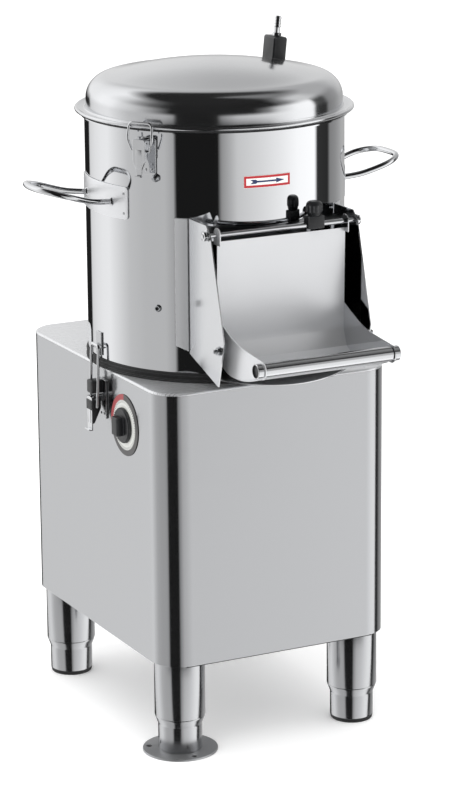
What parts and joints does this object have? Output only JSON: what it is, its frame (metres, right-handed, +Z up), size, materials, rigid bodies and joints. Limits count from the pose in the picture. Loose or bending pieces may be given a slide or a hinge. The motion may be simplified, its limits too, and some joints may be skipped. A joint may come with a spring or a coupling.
{
  "type": "potato peeler machine",
  "caption": "Floor-standing potato peeler: polished drum with domed lid and front discharge flap on a steel cabinet with adjustable legs.",
  "frame": {"origin": "centre of the whole machine's box, on the floor", "axes": "+Z up, +X to the right as seen from the front; the discharge flap faces -Y"},
  "size_m": [0.4778, 0.5406, 0.831],
  "materials": {
    "satin_steel": "brushed stainless sheet",
    "mirror_steel": "mirror-polished stainless sheet",
    "chrome": "bright wire and turned parts",
    "cast_iron": "machined casting",
    "motor_paint": "satin paint",
    "black_plastic": "moulded black",
    "black_rubber": "moulded black",
    "abrasive_grit": "bonded grit on a metal backing",
    "grey_plastic": "moulded grey",
    "printed_plate": "printed film"
  },
  "bodies": {
    "cabinet": {"base_shell": "satin_steel", "top_panel": "satin_steel", "base_floor": "satin_steel", "drum_seal": "black_rubber", "leg_front_left": "satin_steel", "leg_rear_left": "satin_steel", "leg_front_right": "satin_steel", "leg_rear_right": "satin_steel", "motor": "motor_paint", "bearing_housing": "cast_iron", "drive_belt": "black_rubber", "drain_pipe": "grey_plastic", "cable_gland": "black_plastic", "timer_body": "black_plastic", "dial_plate": "printed_plate", "base_latch_body_left": "satin_steel", "base_latch_body_right": "satin_steel"},
    "foot_front_left": {"foot_front_left": "satin_steel", "floor_flange": "satin_steel"},
    "foot_rear_left": {"foot_rear_left": "satin_steel", "rubber_end_rear_left": "black_rubber"},
    "foot_front_right": {"foot_front_right": "satin_steel", "rubber_end_front_right": "black_rubber"},
    "foot_rear_right": {"foot_rear_right": "satin_steel", "rubber_end_rear_right": "black_rubber"},
    "disc_drive": {"drive_shaft": "satin_steel", "drive_pulley": "cast_iron", "abrasive_disc": "abrasive_grit"},
    "motor_rotor": {"motor_pulley": "cast_iron"},
    "timer_knob": {"timer_knob": "black_plastic"},
    "drum": {"drum_shell": "mirror_steel", "abrasive_liner": "abrasive_grit", "arrow_label": "printed_plate", "cheek_left": "satin_steel", "cheek_right": "satin_steel", "chute_floor": "satin_steel", "chute_cover": "satin_steel", "hinge_rod": "chrome", "lock_block": "black_plastic", "drum_handle_left": "chrome", "drum_handle_right": "chrome", "lid_latch_base_left": "satin_steel", "lid_latch_base_right": "satin_steel", "keeper_left": "satin_steel", "keeper_right": "satin_steel"},
    "flap": {"discharge_flap": "satin_steel", "flap_handle": "satin_steel"},
    "lock_knob": {"lock_knob": "black_plastic"},
    "lid": {"lid": "satin_steel", "lid_gasket": "black_rubber", "water_inlet_block": "black_plastic", "hose_barb": "chrome"},
    "lid_latch_lever_left": {"lid_latch_lever_left": "satin_steel"},
    "lid_latch_bail_left": {"lid_latch_bail_left": "chrome"},
    "base_latch_lever_left": {"base_latch_lever_left": "satin_steel"},
    "base_latch_loop_left": {"base_latch_loop_left": "chrome"},
    "lid_latch_lever_right": {"lid_latch_lever_right": "satin_steel"},
    "lid_latch_bail_right": {"lid_latch_bail_right": "chrome"},
    "base_latch_lever_right": {"base_latch_lever_right": "satin_steel"},
    "base_latch_loop_right": {"base_latch_loop_right": "chrome"}
  },
  "joints": [
    {"name": "disc_spin", "type": "hinge", "parent": "cabinet", "child": "disc_drive", "pos_m": [0, 0.0173, 0.45], "axis": [0, 0, 1], "continuous": true},
    {"name": "motor_spin", "type": "hinge", "parent": "cabinet", "child": "motor_rotor", "pos_m": [0, 0.1598, 0.29], "axis": [0, 0, 1], "continuous": true},
    {"name": "timer_turn", "type": "hinge", "parent": "cabinet", "child": "timer_knob", "pos_m": [-0.151, -0.0452, 0.386], "axis": [1, 0, 0], "range_deg": [0, 300]},
    {"name": "foot_front_left_adjust", "type": "slide", "parent": "cabinet", "child": "foot_front_left", "axis": [0, 0, -1], "range_m": [0, 0.025]},
    {"name": "foot_rear_left_adjust", "type": "slide", "parent": "cabinet", "child": "foot_rear_left", "axis": [0, 0, -1], "range_m": [0, 0.025]},
    {"name": "foot_front_right_adjust", "type": "slide", "parent": "cabinet", "child": "foot_front_right", "axis": [0, 0, -1], "range_m": [0, 0.025]},
    {"name": "foot_rear_right_adjust", "type": "slide", "parent": "cabinet", "child": "foot_rear_right", "axis": [0, 0, -1], "range_m": [0, 0.025]},
    {"name": "drum_lift", "type": "slide", "parent": "cabinet", "child": "drum", "axis": [0, 0, 1], "range_m": [0, 0.05]},
    {"name": "lid_lift", "type": "slide", "parent": "drum", "child": "lid", "axis": [0, 0, 1], "range_m": [0, 0.05]},
    {"name": "flap_swing", "type": "hinge", "parent": "drum", "child": "flap", "pos_m": [0, -0.1517, 0.6245], "axis": [-1, 0, 0], "range_deg": [0, 55]},
    {"name": "lock_pull", "type": "slide", "parent": "drum", "child": "lock_knob", "axis": [0, 0, 1], "range_m": [0, 0.003], "stiffness_N_per_m": 300, "springref_m": -0.004},
    {"name": "lid_latch_lever_left_swing", "type": "hinge", "parent": "drum", "child": "lid_latch_lever_left", "pos_m": [-0.13796, -0.07229, 0.7215], "axis": [-0.5446, 0.8387, 0], "range_deg": [0, 90.5]},
    {"name": "lid_latch_bail_left_swing", "type": "hinge", "parent": "lid_latch_lever_left", "child": "lid_latch_bail_left", "pos_m": [-0.13796, -0.07229, 0.7125], "axis": [0.5446, -0.8387, 0], "range_deg": [0, 125.5]},
    {"name": "lid_latch_lever_right_swing", "type": "hinge", "parent": "drum", "child": "lid_latch_lever_right", "pos_m": [0.13796, 0.10689, 0.7215], "axis": [0.5446, -0.8387, 0], "range_deg": [0, 90.5]},
    {"name": "lid_latch_bail_right_swing", "type": "hinge", "parent": "lid_latch_lever_right", "child": "lid_latch_bail_right", "pos_m": [0.13796, 0.10689, 0.7125], "axis": [-0.5446, 0.8387, 0], "range_deg": [0, 125.5]},
    {"name": "base_latch_lever_left_swing", "type": "hinge", "parent": "cabinet", "child": "base_latch_lever_left", "pos_m": [-0.1625, 0.0173, 0.4055], "axis": [0, 1, 0], "range_deg": [0, 90.5]},
    {"name": "base_latch_loop_left_swing", "type": "hinge", "parent": "base_latch_lever_left", "child": "base_latch_loop_left", "pos_m": [-0.1625, 0.0173, 0.3965], "axis": [0, -1, 0], "range_deg": [0, 115.5]},
    {"name": "base_latch_lever_right_swing", "type": "hinge", "parent": "cabinet", "child": "base_latch_lever_right", "pos_m": [0.1625, 0.0173, 0.4055], "axis": [0, -1, 0], "range_deg": [0, 90.5]},
    {"name": "base_latch_loop_right_swing", "type": "hinge", "parent": "base_latch_lever_right", "child": "base_latch_loop_right", "pos_m": [0.1625, 0.0173, 0.3965], "axis": [0, 1, 0], "range_deg": [0, 115.5]}
  ],
  "couplings": [
    {"joint": "motor_spin", "follows": "disc_spin", "ratio": 3.1818},
    {"joint": "lid_latch_lever_left_swing", "follows": "lid_lift", "rad_per_m": 31.416},
    {"joint": "lid_latch_bail_left_swing", "follows": "lid_lift", "rad_per_m": 43.633},
    {"joint": "lid_latch_lever_right_swing", "follows": "lid_lift", "rad_per_m": 31.416},
    {"joint": "lid_latch_bail_right_swing", "follows": "lid_lift", "rad_per_m": 43.633},
    {"joint": "base_latch_lever_left_swing", "follows": "drum_lift", "rad_per_m": 31.416},
    {"joint": "base_latch_loop_left_swing", "follows": "drum_lift", "rad_per_m": 40.143},
    {"joint": "base_latch_lever_right_swing", "follows": "drum_lift", "rad_per_m": 31.416},
    {"joint": "base_latch_loop_right_swing", "follows": "drum_lift", "rad_per_m": 40.143}
  ]
}
